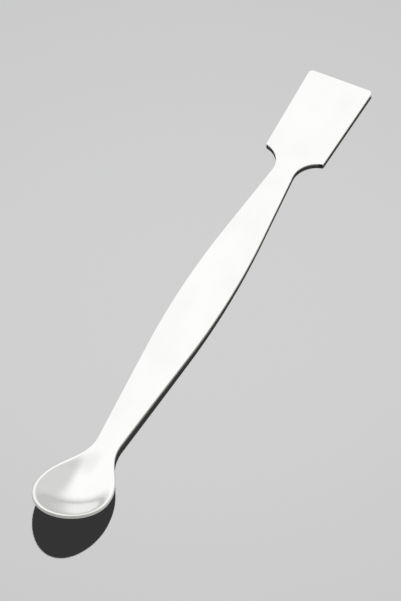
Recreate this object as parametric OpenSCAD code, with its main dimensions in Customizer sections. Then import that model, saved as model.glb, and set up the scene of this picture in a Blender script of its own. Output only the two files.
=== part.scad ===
// Laboratory spatula, pressed from one strip of stainless steel sheet.
// A flat blade is at one end, a small spoon at the other, and a waisted flat handle joins them.
// X runs along the length from the blade to the spoon, Z is up, and the bench is at Z = 0.
// It lies on the underside of the blade and on the belly of the bowl.

/* [Sheet] */
// Thickness of the steel sheet
sheet = 1; // [0.6:0.1:1.4]
// Overall length, from the blade's tip to the outside of the spoon's tip
length = 180; // [160:1:220]

/* [Blade] */
// Width of the blade at its tip
blade_tip_w = 18.9; // [14:0.1:24]
// Width of the blade at its shoulders
blade_base_w = 17.2; // [14:0.1:22]
// Length of the blade, from its tip to its shoulders
blade_len = 29.7; // [20:0.1:40]
// Radius of the two corners at the tip
tip_corner_r = 1.2; // [0.4:0.1:3]
// Radius that breaks the two corners at the shoulders
shoulder_corner_r = 0.4; // [0.2:0.1:0.8]
// How far each shoulder slopes towards the handle
shoulder_slope = 1.6; // [0:0.1:2.5]
// Radius of the hollow between each shoulder and the handle
shoulder_hollow_r = 7.4; // [2:0.1:9]

/* [Handle] */
// Width at which the handle's edges would meet the shoulders, without the hollows
handle_root_w = 5; // [4:0.1:8]
// Width at which the handle's two tapers would meet, before the belly is rounded
handle_peak_w = 15.5; // [11:0.1:19]
// Distance of that meeting place from the blade's tip
handle_peak_at = 84.7; // [70:0.1:95]
// Radius that rounds the handle's belly
belly_r = 280; // [80:5:280]
// Distance from the blade's tip to where the handle starts to rise from the bench
rise_at = 54; // [40:1:75]

/* [Spoon] */
// Length of the spoon, from the end of the handle's taper to the inner edge of its tip
spoon_len = 36.2; // [32:0.1:42]
// Width of the handle where the spoon starts
spoon_root_w = 6.9; // [5.5:0.1:9]
// How far the narrow neck reaches into the spoon
neck_reach = 9.5; // [7:0.1:12]
// Height of the spoon's tip above the handle
tip_rise = 8.4; // [5:0.1:11]

/* [Bowl] */
// Length of the hollow, from its start in the neck to the tip
bowl_len = 34; // [30:0.1:36]
// Greatest width of the bowl
bowl_w = 20.6; // [17:0.1:24]
// Greatest depth of the hollow below its rim, near the middle of its length
bowl_depth = 3; // [2.4:0.1:4]
// Distance from the tip to where the bowl is widest
bowl_front = 13.2; // [11:0.1:14]
// Share by which the hollow's sides level out towards the rim
rim_flare = 0.65; // [0:0.05:0.8]
// How far the full width carries back towards the neck
side_fullness = 11; // [9:0.1:13]
// How far the full width carries on towards the tip
front_fullness = 6.8; // [4:0.1:8]
// How far the blunt tip carries out to each side
tip_fullness = 5.6; // [4:0.1:7]

/* [Hidden] */
// Steps of one rounded corner in the blank's outline
corner_steps = 12;
// Steps of the handle's gentle rise
rise_steps = 16;
// Rows of the spoon along its neck and side, and round its front
side_rows = 26;
front_rows = 16;
// Strips across the spoon
strips = 20;

// Share of the hollow's length by which its start is softened
soft_start = 0.08;

// The rim is cut square to its own sweep, so at the tip its lower edge reaches past its upper one
rim_lean = atan(rim_slope(spoon_len));
tip_lean = atan(rim_slope(spoon_len) - hollow_slope(spoon_len) * (1 - rim_flare));
tip_overhang = sheet * sin(rim_lean) / cos(tip_lean - rim_lean);
blade_tip_x = -length / 2;
spoon_x = length / 2 - tip_overhang - spoon_len;
rise_x = blade_tip_x + rise_at;

// The spoon's root tapers into the handle and stays inside its faces, so that the two are one piece
root_reach = 2 * sheet;
root_inset = sheet / 4;

// The spoon's half outline, in its own frame: X from the end of the taper, Y out from the middle
taper_slope = (spoon_root_w - handle_peak_w) / 2 / (spoon_x - blade_tip_x - handle_peak_at);
widest_x = spoon_len - bowl_front;
side_curve = [
    [0, spoon_root_w / 2],
    [neck_reach, spoon_root_w / 2 + neck_reach * taper_slope],
    [widest_x - side_fullness, bowl_w / 2],
    [widest_x, bowl_w / 2]
];
front_curve = [
    [widest_x, bowl_w / 2],
    [widest_x + front_fullness, bowl_w / 2],
    [spoon_len, tip_fullness],
    [spoon_len, 0]
];
rows = concat(
    [[-root_reach, spoon_root_w / 2 - root_inset, 0]],
    [for (k = [0 : side_rows - 1]) curve_row(side_curve, k / side_rows)],
    [for (k = [0 : front_rows]) curve_row(front_curve, k / front_rows)]
);
last_row = len(rows) - 1;

// The bowl's belly reaches the bench, so it lifts the handle by what it hangs below it
lift = -min([for (row = rows) rim(row[0]) - pressed(hollow(row[0]))]);

function unit(v) = v / norm(v);

function mirrored(points) = [for (k = [len(points) - 1 : -1 : 0]) [points[k][0], -points[k][1], points[k][2]]];

// A cubic curve's point, and its direction
function curve_point(p, t) =
    pow(1 - t, 3) * p[0] + 3 * t * pow(1 - t, 2) * p[1] + 3 * t * t * (1 - t) * p[2] + pow(t, 3) * p[3];
function curve_way(p, t) =
    pow(1 - t, 2) * (p[1] - p[0]) + 2 * t * (1 - t) * (p[2] - p[1]) + t * t * (p[3] - p[2]);

// A row of the spoon: its place, its half width, and how fast that half width grows
function curve_row(p, t) =
    let (point = curve_point(p, t), way = curve_way(p, t))
    [point[0], point[1], way[0] > 0 ? way[1] / way[0] : 0];

// Height of the spoon's rim above the handle, and its slope
function rim(x) = tip_rise * pow(max(0, x) / spoon_len, 2);
function rim_slope(x) = 2 * tip_rise * max(0, x) / pow(spoon_len, 2);

// Depth of the hollow below the rim, half a sine wave that starts softly, and its slope
function hollow_share(x) = max(0, (x - spoon_len + bowl_len) / bowl_len);
function hollow_turn(x) =
    let (share = hollow_share(x))
    180 * (1 + soft_start) * share * share / (share + soft_start);
function hollow(x) = bowl_depth * sin(hollow_turn(x));
function hollow_slope(x) =
    let (share = hollow_share(x), gain = share * (share + 2 * soft_start) / pow(share + soft_start, 2))
    bowl_depth * cos(hollow_turn(x)) * PI / bowl_len * (1 + soft_start) * gain;

// The depth that the pressing leaves where a plain bowl would have depth d, and how fast that grows with d
function pressed(d) = let (share = d / bowl_depth) d * (1 - rim_flare + rim_flare * share * (2 - share));
function pressed_gain(d) = let (share = d / bowl_depth) 1 - rim_flare + rim_flare * share * (4 - 3 * share);

// How far the root row lies inside the sheet
function inset(i) = i == 0 ? root_inset : 0;

// A point of the spoon's upper face: f runs from -1 at one rim to 1 at the other
function upper(i, f) =
    let (x = rows[i][0])
    [x, f * rows[i][1], rim(x) - pressed(hollow(x) * (1 - f * f)) - inset(i)];

// The way up from the sheet at that point. The tip's row has no width, only its middle.
function lean(i, f) =
    let (
        x = rows[i][0],
        steep = i == last_row ? 0 : 2 * f * hollow(x) / rows[i][1],
        gain = pressed_gain(hollow(x) * (1 - f * f)),
        slope_x = rim_slope(x) - gain * (hollow_slope(x) * (1 - f * f) + steep * f * rows[i][2])
    )
    unit([-slope_x, -steep * gain, 1]);

// The way up from the rim's sweep, in which the rim's edge is cut
function square(i) = unit([-rim_slope(rows[i][0]), 0, 1]);

// A point of the spoon's lower face, one sheet below the upper one
function lower(i, f) =
    upper(i, f) - square(i) * (sheet - 2 * inset(i)) / (lean(i, f) * square(i));

// How much of each edge the rounding of corner i would like to take
function corner_half(c, i) =
    let (n = len(c), here = flat(c[i]), before = flat(c[(i + n - 1) % n]), after = flat(c[(i + 1) % n]))
    acos(unit(before - here) * unit(after - here)) / 2;
function corner_want(c, i) = c[i][2] / tan(corner_half(c, i));
function flat(corner) = [corner[0], corner[1]];

// How much it gets: two neighbours share the edge between them
function corner_share(c, i, k) =
    let (both = corner_want(c, i) + corner_want(c, k))
    both > 0 ? min(1, norm(flat(c[i]) - flat(c[k])) / both) : 1;

// The arc that rounds corner i, or the corner itself where its radius is 0
function corner_arc(c, i) =
    let (
        n = len(c),
        here = flat(c[i]),
        to_before = unit(flat(c[(i + n - 1) % n]) - here),
        to_after = unit(flat(c[(i + 1) % n]) - here),
        half = corner_half(c, i),
        share = min(corner_share(c, i, (i + n - 1) % n), corner_share(c, i, (i + 1) % n)),
        reach = corner_want(c, i) * share,
        centre = here + unit(to_before + to_after) * reach / cos(half),
        start = here + to_before * reach - centre,
        turn = (180 - 2 * half) * sign(cross(-to_before, to_after))
    )
    reach > 0 ? [for (k = [0 : corner_steps]) centre + turned(start, turn * k / corner_steps)] : [here];
function turned(v, angle) = [v[0] * cos(angle) - v[1] * sin(angle), v[0] * sin(angle) + v[1] * cos(angle)];
function rounded(c) = [for (i = [0 : len(c) - 1]) each corner_arc(c, i)];

// Height of the handle's underside above the bench
function ease(u) = u * u * (3 - 2 * u);
function underside(x) = lift * ease(min(1, max(0, (x - rise_x) / (spoon_x - rise_x))));

// The blank's outline from the blade's tip to the spoon, as corners with their radii
blank_half = [
    [blade_tip_x, blade_tip_w / 2, tip_corner_r],
    [blade_tip_x + blade_len, blade_base_w / 2, shoulder_corner_r],
    [blade_tip_x + blade_len + shoulder_slope, handle_root_w / 2, shoulder_hollow_r],
    [blade_tip_x + handle_peak_at, handle_peak_w / 2, belly_r],
    [spoon_x, spoon_root_w / 2, 0]
];

// The sheet's outline from the side: flat under the blade, then a gentle rise along the handle.
// It runs past both ends, so that the blank's outline alone ends the strip.
side_x = concat(
    [blade_tip_x - sheet],
    [for (k = [0 : rise_steps]) rise_x + (spoon_x - rise_x) * k / rise_steps],
    [spoon_x + sheet]
);
side_outline = concat(
    [for (x = side_x) [x, underside(x)]],
    [for (k = [len(side_x) - 1 : -1 : 0]) [side_x[k], underside(side_x[k]) + sheet]]
);

// Blade and handle: the blank's outline, cut through the risen sheet
module blade_and_handle() {
    across = 2 * max(blade_tip_w, blade_base_w, handle_peak_w, spoon_root_w);
    intersection() {
        translate([0, 0, -sheet])
            linear_extrude(height = lift + 3 * sheet)
                polygon(rounded(concat(blank_half, mirrored(blank_half))));
        rotate([90, 0, 0])
            linear_extrude(height = across, center = true)
                polygon(side_outline);
    }
}

// Spoon: an upper and a lower skin of rows and strips, closed by the rim and by the root's end face
module spoon() {
    skin = last_row * (strips + 1) + 1;
    function place(side, i, j) = side * skin + (i < last_row ? i * (strips + 1) + j : skin - 1);
    function across(j) = 2 * j / strips - 1;
    function pair(a, b, c, d) = [[a, b, c], [a, c, d]];
    points = concat(
        [for (i = [0 : last_row - 1]) for (j = [0 : strips]) upper(i, across(j))],
        [upper(last_row, 0)],
        [for (i = [0 : last_row - 1]) for (j = [0 : strips]) lower(i, across(j))],
        [lower(last_row, 0)]
    );
    triangles = concat(
        [for (i = [0 : last_row - 1]) for (j = [0 : strips - 1])
            each pair(place(0, i, j), place(0, i, j + 1), place(0, i + 1, j + 1), place(0, i + 1, j))],
        [for (i = [0 : last_row - 1]) for (j = [0 : strips - 1])
            each pair(place(1, i, j), place(1, i + 1, j), place(1, i + 1, j + 1), place(1, i, j + 1))],
        [for (i = [0 : last_row - 1])
            each pair(place(0, i + 1, strips), place(0, i, strips), place(1, i, strips), place(1, i + 1, strips))],
        [for (i = [0 : last_row - 1])
            each pair(place(0, i, 0), place(0, i + 1, 0), place(1, i + 1, 0), place(1, i, 0))],
        [for (j = [0 : strips - 1])
            each pair(place(0, 0, j + 1), place(0, 0, j), place(1, 0, j), place(1, 0, j + 1))]
    );
    translate([spoon_x, 0, lift + sheet])
        polyhedron(points, [for (t = triangles) if (t[0] != t[1] && t[1] != t[2] && t[2] != t[0]) t]);
}

module spatula() {
    color("gainsboro") {
        blade_and_handle();
        spoon();
    }
}

spatula();
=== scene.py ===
import math
import bpy
import numpy as np
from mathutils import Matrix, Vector


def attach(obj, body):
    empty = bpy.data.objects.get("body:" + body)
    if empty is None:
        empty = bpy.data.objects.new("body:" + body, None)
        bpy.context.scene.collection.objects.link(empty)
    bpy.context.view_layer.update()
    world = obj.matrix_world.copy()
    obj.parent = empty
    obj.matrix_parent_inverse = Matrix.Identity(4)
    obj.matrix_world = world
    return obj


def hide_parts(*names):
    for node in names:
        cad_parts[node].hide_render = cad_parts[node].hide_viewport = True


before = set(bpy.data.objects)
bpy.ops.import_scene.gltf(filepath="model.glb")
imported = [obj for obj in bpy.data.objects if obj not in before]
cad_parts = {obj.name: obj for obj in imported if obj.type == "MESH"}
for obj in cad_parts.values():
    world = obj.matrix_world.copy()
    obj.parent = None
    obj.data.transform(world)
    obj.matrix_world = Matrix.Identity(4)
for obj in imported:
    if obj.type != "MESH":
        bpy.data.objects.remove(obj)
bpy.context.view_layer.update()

# The blade and the handle: one flat strip, blanked from stainless steel sheet about a millimetre thick.
# The blade keeps its crisp sheared edges, and the handle widens to a belly where the fingers hold it.
# The strip rises a little towards the spoon, because the bowl lies on the bench too. Sizes are in mm.
sheet = 1.0
length = 180.0
blade_tip_w = 18.9
blade_base_w = 17.2
blade_len = 29.7
tip_corner_r = 1.2
shoulder_corner_r = 0.4
shoulder_slope = 1.6
shoulder_hollow_r = 7.4
handle_root_w = 5.0
handle_peak_w = 15.5
handle_peak_at = 84.7
belly_r = 280.0
rise_at = 54.0
blade_tip_x = -length / 2
rise_x = blade_tip_x + rise_at

# Where the strip ends, and how far it rises, follow from the spoon: its rim sweeps up to the tip,
# and its hollow is half a sine with a soft start, whose sides level out towards the rim.
spoon_len = 36.2
spoon_root_w = 6.9
tip_rise = 8.4
bowl_len = 34.0
bowl_depth = 3.0
soft_start = 0.08
rim_flare = 0.65


def rim_height(x):
    return tip_rise * (x / spoon_len) ** 2


def rim_slope(x):
    return 2 * tip_rise * x / spoon_len**2


def hollow_share(x):
    return np.maximum(0, (x - spoon_len + bowl_len) / bowl_len)


def hollow_turn(x):
    share = hollow_share(x)
    return np.pi * (1 + soft_start) * share**2 / (share + soft_start)


def hollow_depth(x):
    return bowl_depth * np.sin(hollow_turn(x))


def hollow_slope(x):
    share = hollow_share(x)
    gain = (1 + soft_start) * share * (share + 2 * soft_start) / (share + soft_start) ** 2
    return bowl_depth * np.cos(hollow_turn(x)) * np.pi / bowl_len * gain


def pressed(depth):
    share = depth / bowl_depth
    return depth * (1 - rim_flare + rim_flare * share * (2 - share))


def pressed_gain(depth):
    share = depth / bowl_depth
    return 1 - rim_flare + rim_flare * share * (4 - 3 * share)


rim_lean = math.atan(rim_slope(spoon_len))
tip_lean = math.atan(rim_slope(spoon_len) - hollow_slope(spoon_len) * (1 - rim_flare))
spoon_x = length / 2 - sheet * math.sin(rim_lean) / math.cos(tip_lean - rim_lean) - spoon_len
middle_points = 2000
middle_line = np.linspace(0, spoon_len, middle_points)
lift = -(rim_height(middle_line) - pressed(hollow_depth(middle_line))).min()

blank_corners = np.array([
    (blade_tip_x, blade_tip_w / 2, tip_corner_r),
    (blade_tip_x + blade_len, blade_base_w / 2, shoulder_corner_r),
    (blade_tip_x + blade_len + shoulder_slope, handle_root_w / 2, shoulder_hollow_r),
    (blade_tip_x + handle_peak_at, handle_peak_w / 2, belly_r),
    (spoon_x, spoon_root_w / 2, 0.0),
])
blank_loop = np.vstack([blank_corners[::-1] * (1, -1, 1), blank_corners])


def corner_ways(i):
    here = blank_loop[i, :2]
    ways = [blank_loop[(i + step) % len(blank_loop), :2] - here for step in (-1, 1)]
    lengths = [np.linalg.norm(way) for way in ways]
    units = [way / size for way, size in zip(ways, lengths)]
    half = math.acos(np.clip(units[0] @ units[1], -1, 1)) / 2
    return here, units, lengths, half, blank_loop[i, 2] / math.tan(half)


row_step = 1.1
least_arc_steps = 10


def corner_arc(i):
    here, units, lengths, half, want = corner_ways(i)
    if want == 0:
        return [here]
    others = [corner_ways((i + side) % len(blank_loop))[-1] for side in (-1, 1)]
    reach = want * min(1, *[size / (want + other) for size, other in zip(lengths, others)])
    middle = units[0] + units[1]
    centre = here + middle / np.linalg.norm(middle) * reach / math.cos(half)
    start = here + units[0] * reach - centre
    sweep = math.pi - 2 * half
    turn = math.copysign(sweep, units[1][0] * units[0][1] - units[1][1] * units[0][0])
    count = max(least_arc_steps, round(np.linalg.norm(start) * sweep / row_step))
    points = []
    for angle in np.linspace(0, turn, count + 1):
        cos, sin = math.cos(angle), math.sin(angle)
        points.append(centre + (start[0] * cos - start[1] * sin, start[0] * sin + start[1] * cos))
    return points


corner_points = [np.array((blade_tip_x, 0.0))]
for corner in range(len(blank_corners), len(blank_loop)):
    corner_points += corner_arc(corner)
strip = [corner_points[0]]
for point in corner_points[1:]:
    start = strip[-1]
    count = max(1, math.ceil(np.linalg.norm(point - start) / row_step))
    strip += [start + (point - start) * k / count for k in range(1, count + 1)]
strip = np.array(strip)
strip_run = np.r_[0, np.cumsum(np.linalg.norm(np.diff(strip, axis=0), axis=1))]
strip_way = np.gradient(strip, strip_run, axis=0)


def strip_rise(x):
    u = np.clip((x - rise_x) / (spoon_x - rise_x), 0, 1)
    return lift * u * u * (3 - 2 * u), lift * 6 * u * (1 - u) / (spoon_x - rise_x)


# The spoon: the end of the same strip, spread and pressed into a small open bowl that turns up at its tip.
# Its sides leave the handle as a slim neck, run out almost straight, and close in a blunt round front.
# The rim is trimmed square to its own sweep, and polishing rounds its lip over softly from the inside.
bowl_w = 20.6
bowl_front = 13.2
neck_reach = 9.5
side_fullness = 11.0
front_fullness = 6.8
tip_fullness = 5.6
widest_x = spoon_len - bowl_front
taper_slope = (spoon_root_w - handle_peak_w) / 2 / (spoon_x - blade_tip_x - handle_peak_at)
side_curve = np.array([
    (0, spoon_root_w / 2),
    (neck_reach, spoon_root_w / 2 + neck_reach * taper_slope),
    (widest_x - side_fullness, bowl_w / 2),
    (widest_x, bowl_w / 2),
])
front_curve = np.array([
    (widest_x, bowl_w / 2),
    (widest_x + front_fullness, bowl_w / 2),
    (spoon_len, tip_fullness),
    (spoon_len, 0),
])


def along_curve(p, count):
    t = np.linspace(0, 1, count)[:, None]
    r = 1 - t
    points = r**3 * p[0] + 3 * t * r**2 * p[1] + 3 * t * t * r * p[2] + t**3 * p[3]
    ways = r**2 * (p[1] - p[0]) + 2 * t * r * (p[2] - p[1]) + t * t * (p[3] - p[2])
    return points, ways


def spoon_rows(side_count, front_count):
    side, side_way = along_curve(side_curve, side_count)
    front, front_way = along_curve(front_curve, front_count)
    return np.vstack([side, front[1:]]), np.vstack([side_way, front_way[1:]])


outline_points = 4000
outline, outline_way = spoon_rows(outline_points, outline_points)
outline_grow = np.append(outline_way[:-1, 1] / outline_way[:-1, 0], 0)
least_half_w = 1e-6


def slopes_to_normals(slope_x, slope_y):
    normals = np.stack([-slope_x, -slope_y, np.ones_like(slope_x)], axis=-1)
    return normals / np.linalg.norm(normals, axis=-1, keepdims=True)


def upper_skin(x, y):
    rise, rise_slope = strip_rise(x)
    s = np.clip(x - spoon_x, 0, spoon_len)
    half_w = np.maximum(np.interp(s, outline[:, 0], outline[:, 1]), least_half_w)
    grow = np.interp(s, outline[:-1, 0], outline_grow[:-1])
    f = y / half_w
    deep = hollow_depth(s)
    depth = deep * (1 - f * f)
    gain = pressed_gain(depth)
    height = sheet + rise + rim_height(s) - pressed(depth)
    deepening = hollow_slope(s) * (1 - f * f) + 2 * f * f * deep * grow / half_w
    slope_x = rise_slope + rim_slope(s) - gain * deepening
    slope_y = gain * 2 * f * deep / half_w
    return height, slopes_to_normals(slope_x, slope_y)


side_rows = 72
front_rows = 56
bowl_rows, bowl_ways = spoon_rows(side_rows, front_rows)
bowl_rows, bowl_ways = bowl_rows[1:], bowl_ways[1:]
rim_plan = np.vstack([strip, bowl_rows + (spoon_x, 0)])
rim_way = np.vstack([strip_way, bowl_ways / np.linalg.norm(bowl_ways, axis=1, keepdims=True)])

rim_s = bowl_rows[:, 0]
rise, rise_slope = strip_rise(strip[:, 0])
rim_z = sheet + np.r_[rise, lift + rim_height(rim_s)]
rim_climb = np.r_[rise_slope, rim_slope(rim_s)]
rim_up = slopes_to_normals(rim_climb, np.zeros(len(rim_climb)))
rim_points = np.column_stack([rim_plan, rim_z])
rim_run = -(rim_way[:, 0] * rim_up[:, 0] + rim_way[:, 1] * rim_up[:, 1]) / rim_up[:, 2]
rim_out = np.cross(rim_up, np.column_stack([rim_way, rim_run]))
rim_out /= np.linalg.norm(rim_out, axis=1, keepdims=True)

# The edges are crisp on the blade and eased on the handle, and past the neck the bowl's lip is soft.
# The radii hold at four places along the strip and change evenly between them.
crisp_until = blade_tip_x + 40
eased_from = blade_tip_x + 65
bowl_from = spoon_x + 13


def along_rim(*radii):
    return np.interp(rim_points[:, 0], (crisp_until, eased_from, spoon_x, bowl_from), radii)[:, None]


roll_in = along_rim(0.08, 0.12, 0.15, 1.0)
roll_down = along_rim(0.08, 0.12, 0.15, 0.28)
under_r = along_rim(0.08, 0.12, 0.12, 0.15)
inset = rim_points - rim_out * roll_in

# Each row runs from the middle line out to the rim. At both ends the rows fan round.
fan_start = blade_tip_x + 1.3
fan_end = blade_tip_x + 25
fan_depth = 3.0
front_share = 0.45
spine = inset[:, 0].copy()
tip_rows = rim_points[:, 0] < fan_start
spine[tip_rows] = np.linspace(blade_tip_x + fan_depth, fan_start + fan_depth, tip_rows.sum())
blade_rows = ~tip_rows & (rim_points[:, 0] < fan_end)
fan_ends = (fan_start + fan_depth, fan_end)
spine[blade_rows] = np.interp(inset[blade_rows, 0], (fan_start, fan_end), fan_ends)
bowl_middle = spoon_x + widest_x
front = inset[:, 0] > bowl_middle
spine[front] = bowl_middle + front_share * (inset[front, 0] - bowl_middle)

# The rings across the face stand a little closer together towards the rim
face_rings = 22
arc_rings = 10
even_share = 0.6
u = np.linspace(0, 1, face_rings)
ring_share = (even_share * u + (1 - even_share) * u * (2 - u))[None, :-1]
plan_x = spine[:, None] + ring_share * (inset[:, 0] - spine)[:, None]
plan_y = ring_share * inset[:, 1][:, None]
face_z, face_up = upper_skin(plan_x, plan_y)
face = np.stack([plan_x, plan_y, face_z], axis=-1)
lip_turn = np.linspace(0, math.pi / 2, arc_rings)


def sheet_below(skin_up):
    return sheet / np.sum(skin_up * rim_up[:, None], axis=-1, keepdims=True)


def lip(reach, drop, side):
    share = 1 - np.sin(lip_turn)
    spot = rim_points[:, None, :2] - rim_out[:, None, :2] * (reach * share)[:, :, None]
    height, skin_up = upper_skin(spot[..., 0], spot[..., 1])
    up = skin_up * share[None, :, None] + rim_up[:, None] * (1 - share)[None, :, None]
    up /= np.linalg.norm(up, axis=-1, keepdims=True)
    out = rim_out[:, None] - up * np.sum(up * rim_out[:, None], axis=-1, keepdims=True)
    fall = (drop * (1 - np.cos(lip_turn)))[:, :, None]
    skin = np.concatenate([spot, height[..., None]], axis=-1)
    place = skin - up * fall if side > 0 else skin - rim_up[:, None] * (sheet_below(skin_up) - fall)
    lean_up = (side * reach * np.cos(lip_turn))[:, :, None]
    lean_out = (drop * np.sin(lip_turn))[:, :, None]
    normal = up * lean_up + out * lean_out
    return place, normal / np.linalg.norm(normal, axis=-1, keepdims=True)


upper_lip, upper_lip_up = lip(roll_in, roll_down, 1)
lower_lip, lower_lip_up = lip(under_r, under_r, -1)
under = face - rim_up[:, None] * sheet_below(face_up)
section = np.concatenate([face, upper_lip, lower_lip[:, ::-1], under[:, ::-1]], axis=1)
section_up = np.concatenate([face_up, upper_lip_up, lower_lip_up[:, ::-1], -face_up[:, ::-1]], axis=1)

# The look of the cut starts late on the upper lip, which is polished, and at once on the lower one
lip_polish = 4
no_cut = np.zeros(face_rings - 1)
lip_cut = np.sin(lip_turn)
edge_share = np.concatenate([no_cut, lip_cut**lip_polish, lip_cut[::-1], no_cut])

# The half section is mirrored, and the middle line and the two end rows are shared
row_count, ring_count = section.shape[:2]
left = np.arange(row_count * ring_count).reshape(row_count, ring_count)
shared = np.zeros((row_count, ring_count), bool)
shared[[0, -1], :] = True
shared[:, [0, -1]] = True
right = left.copy()
right[~shared] = left.size + np.arange((~shared).sum())
section[shared] *= (1, 0, 1)
section_up[shared] *= (1, 0, 1)
section_up /= np.linalg.norm(section_up, axis=-1, keepdims=True)
points = np.vstack([section.reshape(-1, 3), section[~shared] * (1, -1, 1)])
normals = np.vstack([section_up.reshape(-1, 3), section_up[~shared] * (1, -1, 1)])
on_edge = np.broadcast_to(edge_share, (row_count, ring_count))
edge_values = np.append(on_edge.ravel(), on_edge[~shared])


def grid_faces(index, flipped):
    corners = [index[:-1, :-1], index[1:, :-1], index[1:, 1:], index[:-1, 1:]]
    quads = np.stack(corners[::-1] if flipped else corners, axis=-1).reshape(-1, 4)
    return [list(dict.fromkeys(quad)) for quad in quads.tolist()]


mm = 0.001
body_mesh = bpy.data.meshes.new("pressed_spatula")
body_mesh.from_pydata(points * mm, [], grid_faces(left, False) + grid_faces(right, True))
body_mesh.attributes.new("sheared_edge", "FLOAT", "POINT").data.foreach_set("value", edge_values)
body_mesh.shade_smooth()
body_mesh.normals_split_custom_set_from_vertices(normals.tolist())
spatula = bpy.data.objects.new("pressed_spatula", body_mesh)
bpy.context.scene.collection.objects.link(spatula)


class Signal:
    """A socket of a shader. Sums and products of it add Math nodes, and node() adds any other kind."""

    def __init__(self, tree, socket=None):
        self.tree = tree
        self.socket = socket

    def node(self, kind, settings, sockets, output=0):
        made = self.tree.nodes.new(kind)
        for name, value in settings.items():
            setattr(made, name, value)
        for name, value in sockets.items():
            if isinstance(value, Signal):
                self.tree.links.new(value.socket, made.inputs[name])
            else:
                made.inputs[name].default_value = value
        return Signal(self.tree, made.outputs[output] if made.outputs else None)

    def maths(self, operation, first, second):
        return self.node("ShaderNodeMath", {"operation": operation}, {0: first, 1: second})

    def __add__(self, other):
        return self.maths("ADD", self, other)

    __radd__ = __add__

    def __sub__(self, other):
        return self.maths("SUBTRACT", self, other)

    def __rsub__(self, other):
        return self.maths("SUBTRACT", other, self)

    def __mul__(self, other):
        return self.maths("MULTIPLY", self, other)

    __rmul__ = __mul__


def eased(value, start, end, low=0.0, high=1.0):
    sockets = {"Value": value, "From Min": start, "From Max": end, "To Min": low, "To Max": high}
    return value.node("ShaderNodeMapRange", {"interpolation_type": "SMOOTHSTEP"}, sockets)


def grain(place, per_metre, detail=2.0):
    wide = place.node("ShaderNodeVectorMath", {"operation": "MULTIPLY"}, {0: place, 1: per_metre})
    return place.node("ShaderNodeTexNoise", {}, {"Vector": wide, "Scale": 1.0, "Detail": detail}, "Fac")


def tinted(share, first, second):
    return share.node("ShaderNodeMix", {"data_type": "RGBA"}, {"Factor": share, 6: first, 7: second}, 2)


# The steel has a satin polish: fine lines run along the strip, and buffing rounds them off in the bowl.
# Hands have dulled it faintly here and there. Its sheared edge is rougher, with a darker, warmer tone that
# is partly the dull cut and partly painted shade for the shadow it mirrors.
steel = bpy.data.materials.new("satin_stainless")
steel.use_nodes = True
steel.node_tree.nodes.clear()
shade = Signal(steel.node_tree)
place = shade.node("ShaderNodeTexCoord", {}, {}, "Object")
along = shade.node("ShaderNodeSeparateXYZ", {}, {0: place}, "X")
in_bowl = eased(along, spoon_x * mm, bowl_from * mm)
edge = shade.node("ShaderNodeAttribute", {"attribute_name": "sheared_edge"}, {}, "Fac")
rim_polish = 0.25
on_cut = edge * (1 - in_bowl * rim_polish)
fine_lines = grain(place, (70, 6500, 6500), 3.0)
broad_lines = grain(place, (28, 1900, 1900))
buffing = grain(place, (900, 900, 900), 4.0)
handling = grain(place, (75, 110, 110), 3.0)
shear_marks = grain(place, (5200, 5200, 420))
hairlines = grain(place, (900, 4200, 900), 1.0)
fine_share = 0.6
lines = fine_lines * fine_share + broad_lines * (1 - fine_share)
polish = lines * (1 - in_bowl) + buffing * in_bowl
scratches = eased(hairlines, 0.685, 0.73) * (1 - in_bowl)
dulled = eased(handling, 0.45, 0.7)

strip_rough = 0.13
bowl_gloss = 0.04
polish_rough = 0.06
dulled_rough = 0.04
scratch_rough = 0.05
cut_rough = 0.08
rough = strip_rough - in_bowl * bowl_gloss + polish * polish_rough
rough = rough + dulled * dulled_rough + scratches * scratch_rough + on_cut * cut_rough

clean_steel = (0.85, 0.85, 0.843, 1)
worn_steel = (0.81, 0.81, 0.8, 1)
# Partly painted shade: the cut tone is darker than dull sheared steel alone, standing in for the floor's
# shadow that the edge mirrors
cut_steel_and_painted_shade = (0.55, 0.535, 0.48, 1)
wear_share = 0.6
wear = eased(handling, 0.35, 0.75) * wear_share + polish * (1 - wear_share)
face_tone = tinted(wear, clean_steel, worn_steel)
cut_and_shade_share = 0.75
cut_mottle = 0.35
tone = tinted(on_cut * (cut_and_shade_share + shear_marks * cut_mottle), face_tone, cut_steel_and_painted_shade)

strip_lines = 0.6
bowl_smoothing = 0.5
shear_relief = 1.5
scratch_relief = 0.4
relief = polish * (strip_lines - in_bowl * bowl_smoothing)
relief = relief + on_cut * shear_marks * shear_relief - scratches * scratch_relief
bumped = shade.node("ShaderNodeBump", {}, {"Strength": 0.06, "Distance": 0.00002, "Height": relief})
metal = shade.node("ShaderNodeBsdfPrincipled", {}, {
    "Base Color": tone, "Metallic": 1.0, "Roughness": rough, "Normal": bumped,
})
shade.node("ShaderNodeOutputMaterial", {}, {"Surface": metal})
body_mesh.materials.append(steel)
# The steel throws no light of its own back on the paper, so the floor's shadow stays even
spatula.visible_diffuse = False
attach(spatula, "root")
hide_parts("spatula")

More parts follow.
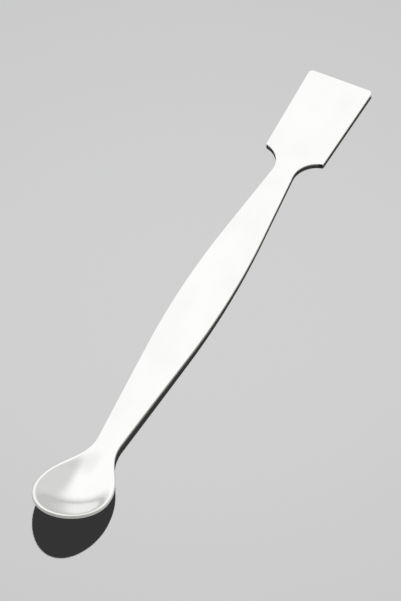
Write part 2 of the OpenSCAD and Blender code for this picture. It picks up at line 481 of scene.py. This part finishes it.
# The camera stands well back with a long lens, above and beyond the spoon's end, so that the strip
# lies slantwise. Its place comes from the outlines of the blade, the handle, the bowl and their shadow.
# A frame of 401 by 601 pixels holds 162 mm from top to bottom at the middle of the strip.
view_azimuth = math.radians(115.82)
view_elevation = math.radians(49.25)
aim = Vector((-2.76, -0.51, 0)) * mm
frame_height = 161.95 * mm
to_right = Vector((math.cos(view_azimuth), math.sin(view_azimuth), 0))
away = Vector((-math.sin(view_azimuth), math.cos(view_azimuth), 0))
above = Vector((0, 0, 1))
to_camera = above * math.sin(view_elevation) - away * math.cos(view_elevation)
lens = bpy.data.cameras.new("long_lens")
lens.lens = 1000
lens.sensor_width = 36
lens.clip_start = 0.1
lens.clip_end = 20
camera = bpy.data.objects.new("long_lens", lens)
camera.location = aim + to_camera * frame_height * lens.lens / lens.sensor_width
camera.rotation_mode = "QUATERNION"
camera.rotation_quaternion = to_camera.to_track_quat("Z", "Y")
bpy.context.scene.collection.objects.link(camera)
bpy.context.scene.camera = camera

# The floor: a matt grey sheet of paper that runs on past the picture on every side.
# Its colour holds a painted pool of light: paler round the spatula and greyer outwards, as if the light
# fell off towards its corners, then paler again far off.
floor_reach = 4.0
floor_drop = 0.00002
# Painted light: the first two tones paint the pool of light round the spatula and its falloff
painted_pool_paper = (0.635, 0.635, 0.638, 1)
painted_falloff_paper = (0.585, 0.585, 0.588, 1)
far_paper = (0.72, 0.72, 0.72, 1)
floor_signs = ((-1, -1), (1, -1), (1, 1), (-1, 1))
floor_corners = [(x * floor_reach, y * floor_reach, -floor_drop) for x, y in floor_signs]
floor_mesh = bpy.data.meshes.new("floor")
floor_mesh.from_pydata(floor_corners, [], [(0, 1, 2, 3)])
floor = bpy.data.objects.new("floor", floor_mesh)
bpy.context.scene.collection.objects.link(floor)
matt = bpy.data.materials.new("matt_grey")
matt.use_nodes = True
matt.node_tree.nodes.clear()
ground = Signal(matt.node_tree)
spot = ground.node("ShaderNodeTexCoord", {}, {}, "Object")
far = ground.node("ShaderNodeVectorMath", {"operation": "LENGTH"}, {0: spot}, "Value")
# Painted light: paler paper near the spatula, greyer further out
painted_pool_tone = tinted(eased(far, 0.02, 0.16), painted_pool_paper, painted_falloff_paper)
floor_tone = tinted(eased(far, 0.18, 0.5), painted_pool_tone, far_paper)
matt_face = ground.node("ShaderNodeBsdfDiffuse", {}, {"Color": floor_tone})
ground.node("ShaderNodeOutputMaterial", {}, {"Surface": matt_face})
floor_mesh.materials.append(matt)

# The light: one lamp behind the strip throws its shadow towards the camera, and the room fills it a little.
# The steel mirrors a pale studio, which is darker on the camera's side. A broad soft panel stands behind
# and to the left in it, with a slanting right edge.
lamp_elevation = math.radians(57.8)
lamp_turn = math.radians(-0.5)
lamp_level = away * math.cos(lamp_turn) + to_right * math.sin(lamp_turn)
to_lamp = lamp_level * math.cos(lamp_elevation) + above * math.sin(lamp_elevation)
fill = 0.057
key = bpy.data.lights.new("key_lamp", "SUN")
key.energy = (1 - fill) * math.pi / math.sin(lamp_elevation)
key.angle = math.radians(2)
lamp = bpy.data.objects.new("key_lamp", key)
lamp.rotation_mode = "QUATERNION"
lamp.rotation_quaternion = to_lamp.to_track_quat("Z", "Y")
lamp.visible_glossy = False
bpy.context.scene.collection.objects.link(lamp)

studio = bpy.data.worlds.new("studio")
bpy.context.scene.world = studio
studio.use_nodes = True
studio.node_tree.nodes.clear()
studio.cycles.sampling_method = "NONE"
room = Signal(studio.node_tree)
way = room.node("ShaderNodeTexCoord", {}, {}, "Generated")


def facing(direction):
    sockets = {0: way, 1: direction}
    return room.node("ShaderNodeVectorMath", {"operation": "DOT_PRODUCT"}, sockets, "Value")


def light_path(kind):
    return room.node("ShaderNodeLightPath", {}, {}, kind)


panel_glow = 0.39
panel_top = 0.68
edge_slant = math.radians(8)
panel_edge = to_right * math.cos(edge_slant) - above * math.sin(edge_slant)
panel = eased(facing(panel_edge), 0.13, 0.42, 1.0, 0.0) * eased(facing(away), -0.2, 0.2)
panel = panel * eased(facing(above), -0.08, 0.23) * eased(facing(above), 0.82, 0.96, 1.0, panel_top)

near_wall = 0.4
far_wall = 0.775
low_left = 0.92
low_right = 1.1
low_walls = eased(facing(to_right), 0.35, 0.65, low_left, low_right)
walls = eased(facing(away), -0.35, 0.35, near_wall, far_wall)
walls = walls * (low_walls + (1 - low_walls) * eased(facing(above), 0.0, 0.3))

backdrop = 0.62
seen = light_path("Is Camera Ray")
mirrored = light_path("Is Glossy Ray")
passed = light_path("Is Transmission Ray")
strength = seen * backdrop + (mirrored + passed) * (walls + panel * panel_glow)
strength = strength + (1 - seen - mirrored - passed) * fill
sky = room.node("ShaderNodeBackground", {}, {"Color": (1, 1, 1, 1), "Strength": strength})
room.node("ShaderNodeOutputWorld", {}, {"Surface": sky})

bpy.context.scene.view_settings.view_transform = "Standard"
